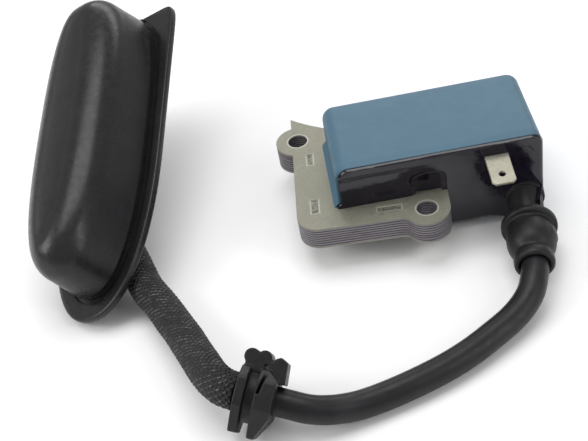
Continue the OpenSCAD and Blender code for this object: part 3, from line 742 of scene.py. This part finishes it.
def cap_shell():
    count = 224
    foot_z = FLANGE_T + 1.5
    rings = []
    flange = lambda inset, z: flange_ring(inset, z, count)
    dome = lambda inset, z: dome_ring(inset, z, count)
    # outside, from the flange's underside to its edge, over its top and into the groove
    inner_edge = dome(WALL, 0)
    rings += [inner_edge, dome(1.2, 0), between(dome(0, 0), flange(0, 0), 0.5, 0.0)]
    rings += [flange(0.45, 0), flange(0.12, 0.14), flange(0, 0.45), flange(0, 1.5),
        flange(0.12, 1.84), flange(0.45, FLANGE_T)]
    rings += [between(dome(0, 0), flange(0, 0), t, FLANGE_T) for t in (0.75, 0.45)]
    rings += [dome(-1.05, FLANGE_T), dome(-0.9, FLANGE_T - 0.1), dome(-0.7, FLANGE_T - 0.5)]
    rings += [dome(0.7, FLANGE_T - 0.5), dome(0.9, FLANGE_T), dome(0.9, foot_z - 0.5),
        dome(0.6, foot_z - 0.15), dome(0.02, foot_z), dome(0.0, foot_z + 0.2),
        dome(0.06, foot_z + 0.5)]
    # the wall leans in a little, then rounds over to the top
    top = DOME_H - DOME_EDGE
    for i in range(1, 7):
        t = i / 6
        rings.append(dome(0.06 + (DOME_TAPER - 0.06) * t, foot_z + 0.5
            + (top - foot_z - 0.5) * t))
    for i in range(1, 19):
        a = math.radians(90 * i / 18)
        rings.append(dome(DOME_TAPER + DOME_EDGE * (1 - math.cos(a)),
            top + DOME_EDGE * math.sin(a) - 0.25 * (i / 18)))
    roof = rings[-1]
    for i in range(1, 7):
        t = i / 6
        rings.append(crown(roof, t * 0.9, DOME_H - 0.25 * (1 - t) ** 2))
    verts, faces = loft([[CAP @ (p * MM) for p in ring] for ring in rings],
        closed_ends=(False, False))
    # close the ridge, then the inside
    count_out = len(verts)
    ridge = (len(rings) - 1) * count
    for k in range(count // 2):
        a, b = ridge + k, ridge + (k + 1) % count
        c, d = ridge + (count - k - 1) % count, ridge + (count - k) % count
        if len({a, b, c, d}) == 4:
            faces.append((a, b, c, d))
    inner = [inner_edge]
    edge = DOME_EDGE - WALL
    for i in range(1, 5):
        t = i / 4
        inner.append(dome(WALL + DOME_TAPER * t, (DOME_H - DOME_EDGE) * t))
    for i in range(1, 13):
        a = math.radians(90 * i / 12)
        inner.append(dome(WALL + DOME_TAPER + edge * (1 - math.cos(a)),
            DOME_H - DOME_EDGE + edge * math.sin(a)))
    roof = inner[-1]
    inner += [crown(roof, t * 0.9, DOME_H - WALL) for t in (0.5, 1)]
    more, more_faces = loft([[CAP @ (p * MM) for p in ring] for ring in inner],
        closed_ends=(False, False))
    verts += more
    faces += [tuple(count_out + v for v in f[::-1]) for f in more_faces]
    ridge = count_out + (len(inner) - 1) * count
    for k in range(count // 2):
        a, b = ridge + k, ridge + (k + 1) % count
        c, d = ridge + (count - k - 1) % count, ridge + (count - k) % count
        if len({a, b, c, d}) == 4:
            faces.append((d, c, b, a))
    # ribs that hold the plug boot
    for s in (-1, 1):
        x0, x1 = (8.4, 12.6) if s > 0 else (-11.0, -8.4)
        box = [(x, y, z) for x in (x0, x1) for y in (14.8, 17.2) for z in (4.0, 13.7)]
        base = len(verts)
        verts += [CAP @ (Vector(p) * MM) for p in box]
        faces += [tuple(base + i for i in f) for f in ((0, 1, 3, 2), (4, 6, 7, 5),
            (0, 4, 5, 1), (2, 3, 7, 6), (0, 2, 6, 4), (1, 5, 7, 3))]
    return mesh_object("plug_cap_shell", verts, faces, 50)


cap_piece = dress(cap_shell(), "cap")
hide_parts("plug_cap")


# ---------------------------------------------------------------- lead boot and grommet
def lead_boot():
    out = [(4.66, 0.0), (6.6, 0.0), (7.0, 0.12), (7.22, 0.4), (7.3, 0.8), (7.3, 1.6),
        (7.2, 1.95), (6.9, 2.15), (6.45, 2.2), (6.12, 2.35), (6.02, 2.7), (6.1, 3.4),
        (6.3, 4.6), (6.4, 6.0), (6.38, 7.4), (6.2, 8.6), (5.8, 9.8), (5.2, 10.7),
        (4.75, 11.2), (4.55, 11.6), (4.55, 12.0), (4.8, 12.3), (5.05, 12.6), (5.2, 13.1),
        (5.2, 14.4), (5.1, 15.0), (4.8, 15.4), (4.3, 15.5), (3.95, 15.4), (3.6, 15.0),
        (3.56, 14.0), (3.56, 8.1), (4.66, 8.06)]
    obj = turned("lead_boot_moulding", out, tower_matrix(BOOT_AT), 96, 60)
    # a raised oval on the boot's side
    place = tower_matrix(BOOT_AT).inverted()
    centre, tall, wide = 6.4, 2.3, 2.6
    for v in obj.data.vertices:
        p = place @ v.co / MM
        around = math.atan2(p.y, p.x)
        off = ((around - 0.35 + math.pi) % (2 * math.pi)) - math.pi
        d = math.hypot((p.z - centre) / tall, off * 6.4 / wide)
        if math.hypot(p.x, p.y) > 5.5 and d < 1:
            lift = 0.35 * (1 - d ** 6)
            q = Vector((p.x, p.y, 0)).normalized() * lift
            v.co = v.co + (tower_matrix(BOOT_AT).to_3x3() @ q) * MM
    return obj


boot_piece = dress(lead_boot(), "rubber")
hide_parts("lead_boot")
grommet = dress(rounded_rubber("frame_grommet", "grommet_moulding", 0.2, 7), "rubber",
    "grommet")
plug_boot = dress(finer_copy("plug_boot", "plug_boot_moulding", 0.4, 3), "rubber")

# ---------------------------------------------------------------- coil block
BX0, BX1, BY0, BY1, BZ0, BZ1 = -8.5, 47.5, -12.2, 16.6, -15.0, 12.6
PROUD, BEVEL = 1.0, 3.0
TOWER_X, TOWER_Z, TOWER_R = 43, -7.5, 5.0
TAB_X, TAB_Z, TAB_LEAN = 35, 8.4, 10
TAB_HALF, TAB_LENGTH, TAB_CLIP, TAB_HALF_T = 3.15, 10.0, 1.0, 0.4
TAB_HOLE_Y, TAB_HOLE_R = -6.8, 0.9


def step(value, low, high):
    t = min(max((value - low) / (high - low), 0.0), 1.0)
    return t * t * (3 - 2 * t)


def under_bevel(x, y, z):
    """The bevel under the block's front, which runs out near the tower."""
    bevel = BEVEL - (BEVEL - 0.5) * step(x, 31, 42)
    return max(y, BY0 - PROUD + max(0.0, BZ0 + bevel - z))


def outline(x0, x1, z0, z1, radii, per=14, flats=(34, 16)):
    """A rounded rectangle as (x, z) points. The radii are those of the corners low left, low
    right, top right and top left."""
    corners = [((x0 + radii[0], z0 + radii[0]), radii[0], 180),
        ((x1 - radii[1], z0 + radii[1]), radii[1], 270),
        ((x1 - radii[2], z1 - radii[2]), radii[2], 0),
        ((x0 + radii[3], z1 - radii[3]), radii[3], 90)]
    out = []
    for i, ((cx, cz), r, start) in enumerate(corners):
        arc = [(cx + r * math.cos(math.radians(start + 90 * k / per)),
            cz + r * math.sin(math.radians(start + 90 * k / per))) for k in range(per + 1)]
        (nx, nz), nr, ns = corners[(i + 1) % 4]
        goal = (nx + nr * math.cos(math.radians(ns)), nz + nr * math.sin(math.radians(ns)))
        count = flats[i % 2]
        last = arc[-1]
        out += arc + [(last[0] + (goal[0] - last[0]) * k / count,
            last[1] + (goal[1] - last[1]) * k / count) for k in range(1, count)]
    return out


def set_back(x, z):
    """The left wall stands in a little above the foot that meets the core."""
    return x + 1.3 * step(z, 0.5, 1.5) * step(-x, 2.5, 6)


def block_ring(points, y):
    return [BLOCK @ (Vector((set_back(x, z), under_bevel(x, y, z), z)) * MM)
        for x, z in points]


def housing():
    def level(inset):
        r = [max(3.4 - inset, 0.4)] * 4
        return outline(BX0 + inset, BX1 - inset, BZ0 + inset, BZ1 - inset, r)
    wall, back = 1.6, 2.8
    rings = [block_ring(level(wall), 10.0), block_ring(level(wall), BY0 + 0.15),
        block_ring(level(wall - 0.15), BY0), block_ring(level(0.28), BY0),
        block_ring(level(0.09), BY0 + 0.08), block_ring(level(0), BY0 + 0.3)]
    rings += [block_ring(level(0), BY0 + 0.3 + (BY1 - back - BY0 - 0.3) * i / 10)
        for i in range(1, 11)]
    for i in range(1, 13):
        a = math.radians(90 * i / 12)
        rings.append(block_ring(level(back * (1 - math.cos(a))), BY1 - back
            + back * math.sin(a)))
    rings.append(block_ring(level(wall + back), BY1))
    rings.append(block_ring(level(wall + back), BY1 - wall))
    rings.append(block_ring(level(wall), BY1 - wall - back))
    verts, faces = loft(rings, loop=True)
    # The back is one face outside and one inside, in place of the strip between them
    count = len(rings[0])
    outer = (len(rings) - 3) * count
    inner = (len(rings) - 2) * count
    faces = [f for f in faces if not (outer <= min(f) < inner <= max(f))]
    faces.append(tuple(outer + k for k in range(count)))
    faces.append(tuple(inner + k for k in range(count - 1, -1, -1)))
    return mesh_object("housing_moulding", verts, faces, 30)


def resin_height(x, z, edge):
    """How far the resin stands out of the housing's front. edge is the distance in from its
    outline."""
    h = 1.0
    wave = (0.10 * math.sin(0.55 * x + 0.4) + 0.07 * math.sin(1.3 * x + 0.5 * z)
        + 0.05 * math.sin(0.9 * z + 2 + 0.2 * x))
    # the lip where resin has crept up to the wall, the swelling at the left, and the flat right
    left = 1 - step(x, 10.5, 12.5)
    lip_z = 10.0 + 0.35 * math.sin(0.3 * x + 1)
    h += (0.30 + 0.3 * wave) * step(z, lip_z - 0.7, lip_z + 0.4) * (1 - 0.6 * step(
        z, 11.2, 12.3))
    swell = left * step(z, 1.2, 3.4) * (1 - step(z, 7.6, 9.6))
    h += swell * (0.40 + wave * 2.2) - left * 0.35 * math.exp(-((z - 9.6) / 0.5) ** 2)
    h += left * 0.35 * math.exp(-((z - 2.4 - 0.12 * x * left) / 0.5) ** 2)
    # the drip between the swelling and the pocket
    drip_x = 12.2 + 0.35 * math.sin(1.1 * z) + 0.2 * math.sin(2.7 * z + 1)
    h += 0.75 * math.exp(-((x - drip_x) / 0.55) ** 2) * step(z, 0.2, 2) * (
        1 - step(z, 10.8, 12)) * (1 + 0.4 * math.sin(2.3 * z))
    # the band of resin that runs from the drip to the tab
    band_z = 9.2 - 0.02 * (x - 12)
    h += (1 - step(x, 27, 33)) * step(x, 12, 14) * 0.35 * math.exp(
        -((z - band_z) / 0.8) ** 2)
    # the pocket beside the right ear
    across = (x - 16.9) / 4.7
    if abs(across) < 1:
        pocket = (1 - across ** 2) ** 1.2
        h -= 2.4 * pocket * (1 - step(z, 3.6, 7.4 - 1.2 * across ** 2)) * step(
            z, -0.9, 0.4)
    h += wave * 0.16 * (1 - left)
    # the resin climbs round the tower and the tab
    tower = math.hypot(x - TOWER_X, z - TOWER_Z) - TOWER_R
    h += 0.6 * math.exp(-(max(tower, 0) / 1.1) ** 2)
    tab = max(abs(x - TAB_X) - 3.1, abs(z - TAB_Z) - 0.3)
    h += 0.35 * math.exp(-(max(tab, 0) / 0.6) ** 2)
    round_off = min(edge / 0.6, 1.0)
    return max(h * math.sqrt(max(1 - (1 - round_off) ** 2, 0.0)), -1.6) if h > 0 else h


def resin_face():
    x0, x1, z0, z1 = BX0 + 0.55, BX1, BZ0, BZ1 - 0.30
    radii = [1.2, 1.2, 2.6, 3.4]
    rim = outline(x0, x1, z0, z1, radii, 16, (110, 50))
    inner = outline(BX0 + 1.75, BX1 - 1.75, BZ0 + 1.75, BZ1 - 1.75, [1.2] * 4, 16,
        (110, 50))
    cx, cz = (x0 + x1) / 2, (z0 + z1) / 2
    rings = [block_ring(inner, -9.4), block_ring(inner, BY0 + 0.02),
        block_ring(rim, BY0 + 0.02)]
    layers = 84
    for i in range(layers):
        t = i / layers
        ring = []
        for x, z in rim:
            # each ring is the rim drawn in evenly towards the middle
            s = 1 - t
            px, pz = cx + (x - cx) * s, cz + (z - cz) * s
            edge = t * min(abs(x - cx) if abs(abs(x - cx) - (x1 - x0) / 2) < 0.3 else 99,
                abs(z - cz) if abs(abs(z - cz) - (z1 - z0) / 2) < 0.3 else 99,
                math.hypot(x - cx, z - cz) * 0.55)
            y = BY0 - resin_height(px, pz, edge)
            ring.append(BLOCK @ (Vector((set_back(px, pz), under_bevel(px, y, pz), pz))
                * MM))
        rings.append(ring)
    verts, faces = loft(rings)
    return mesh_object("potting_front_resin", verts, faces, 55)


def resin_body():
    """The resin inside the housing: the CAD solid with its front drawn back behind the
    finished front."""
    mesh = nodes["potting_fill"].data.copy()
    mesh.name = "potting_body_resin"
    back = BLOCK.inverted()
    for v in mesh.vertices:
        p = back @ v.co
        if p.y < (BY0 + 0.05) * MM:
            p.y = (BY0 + 0.05) * MM
        if p.z < (BZ0 + 1.5) * MM:
            p.z = (BZ0 + 1.5) * MM
        v.co = BLOCK @ p
    smooth(mesh, 30)
    return new_object("potting_body_resin", mesh)


def tab_blade():
    """The blade, its clipped corners and its hole, as one ring of section round the hole."""
    half, length, clip, t = TAB_HALF, TAB_LENGTH, TAB_CLIP, TAB_HALF_T
    root = 3.0
    corners = [(-half, root), (-half, clip - length), (clip - half, -length),
        (half - clip, -length), (half, clip - length), (half, root)]
    hole = (0.0, TAB_HOLE_Y)
    count = 96
    angles = sorted([2 * math.pi * k / count for k in range(count)]
        + [math.atan2(y - hole[1], x - hole[0]) % (2 * math.pi) for x, y in corners])

    def reach(a):
        best = 1e9
        dx, dy = math.cos(a), math.sin(a)
        for (ax, ay), (bx, by) in zip(corners, corners[1:] + corners[:1]):
            ex, ey = bx - ax, by - ay
            det = dx * -ey + ex * dy
            if abs(det) < 1e-12:
                continue
            k = ((ax - hole[0]) * -ey + ex * (ay - hole[1])) / det
            m = (dx * (ay - hole[1]) - dy * (ax - hole[0])) / det
            if k > 0 and -1e-9 <= m <= 1 + 1e-9:
                best = min(best, k)
        return best

    place = (BLOCK @ Matrix.Translation(Vector((TAB_X, BY0 - PROUD + 0.4, TAB_Z)) * MM)
        @ Matrix.Rotation(math.radians(TAB_LEAN), 4, "X"))
    # Each ring lies at a radius round the hole or at a distance in from the blade's edge
    bore, mouth = TAB_HOLE_R, TAB_HOLE_R + 0.08
    rings = []
    for radius, inset, z in ((bore, 0, t - 0.08), (mouth, 0, t), (0, 0.14, t),
            (0, 0, t - 0.14), (0, 0, 0.14 - t), (0, 0.14, -t), (mouth, 0, -t),
            (bore, 0, 0.08 - t)):
        ring = []
        for a in angles:
            r = radius or reach(a) - inset
            ring.append(place @ (Vector((hole[0] + r * math.cos(a),
                hole[1] + r * math.sin(a), z)) * MM))
        rings.append(ring)
    verts, faces = loft(rings, loop=True)
    return mesh_object("kill_tab_blade", verts, faces, 30)


def prism(name, low, high, thick):
    """A thin plate with rounded edges between two lines, given in the block's frame."""
    a, b, c, d = (Vector(p) for p in (*low, *high))
    normal = (b - a).cross(c - a).normalized() * thick / 2
    corners = [a, b, d, c]
    bm = bmesh.new()
    top = [bm.verts.new(BLOCK @ ((p + normal) * MM)) for p in corners]
    bottom = [bm.verts.new(BLOCK @ ((p - normal) * MM)) for p in corners]
    bm.faces.new(top)
    bm.faces.new(bottom[::-1])
    for i in range(4):
        bm.faces.new((top[i], bottom[i], bottom[(i + 1) % 4], top[(i + 1) % 4]))
    bmesh.ops.recalc_face_normals(bm, faces=bm.faces)
    bmesh.ops.bevel(bm, geom=bm.edges[:], offset=thick * 0.25 * MM, segments=2,
        affect="EDGES", clamp_overlap=True)
    mesh = bpy.data.meshes.new(name)
    bm.to_mesh(mesh)
    bm.free()
    smooth(mesh, 40)
    return new_object(name, mesh)


housing_piece = dress(housing(), "housing")
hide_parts("housing_shell")
resin = dress(resin_face(), "potting")
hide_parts("potting_fill")
dress(resin_body(), "potting")
tab_piece = dress(tab_blade(), "nickel")
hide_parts("kill_tab")
socket = dress(finer_copy("lead_socket", "lead_socket_moulding", 0.25, 2), "potting")
# The socket belongs with the resin it is set in, but has the dull skin of the rubber
socket.data.materials[0] = M["rubber"]
dress(prism("tower_gusset", ((46.6, -12.6, -4.4), (46.6, -12.6, -10.0)),
    ((43.9, -20.9, -2.4), (43.9, -20.9, -7.0)), 0.9), "potting")

# ---------------------------------------------------------------- nodes that keep their shape
KEPT = {
    "core_top_lamination": "core_plate", "core_bottom_lamination": "core_plate",
    "core_laminations": "core_stack", "potting_fill": "potting",
    "primary_bobbin": "bobbin", "primary_winding": "copper",
    "secondary_bobbin": "bobbin", "secondary_winding": "copper",
    "circuit_board": "board", "power_transistor": "chip", "control_chip": "chip",
    "storage_capacitor": "capacitor", "resistors": "resistor", "diodes": "chip",
    "ground_strap": "brass", "hv_terminal_pin": "brass", "terminal_spring": "spring",
}
for node, slot_name in KEPT.items():
    obj = nodes[node]
    obj.data.materials.clear()
    obj.data.materials.append(M[slot_name])


# ---------------------------------------------------------------- floor
floor_mesh = bpy.data.meshes.new("floor")
floor_mesh.from_pydata([(-2, -2, FLOOR_Z), (2, -2, FLOOR_Z), (2, 2, FLOOR_Z),
    (-2, 2, FLOOR_Z)], [], [(0, 1, 2, 3)])
floor = new_object("floor", floor_mesh)
floor.data.materials.append(floor_material())
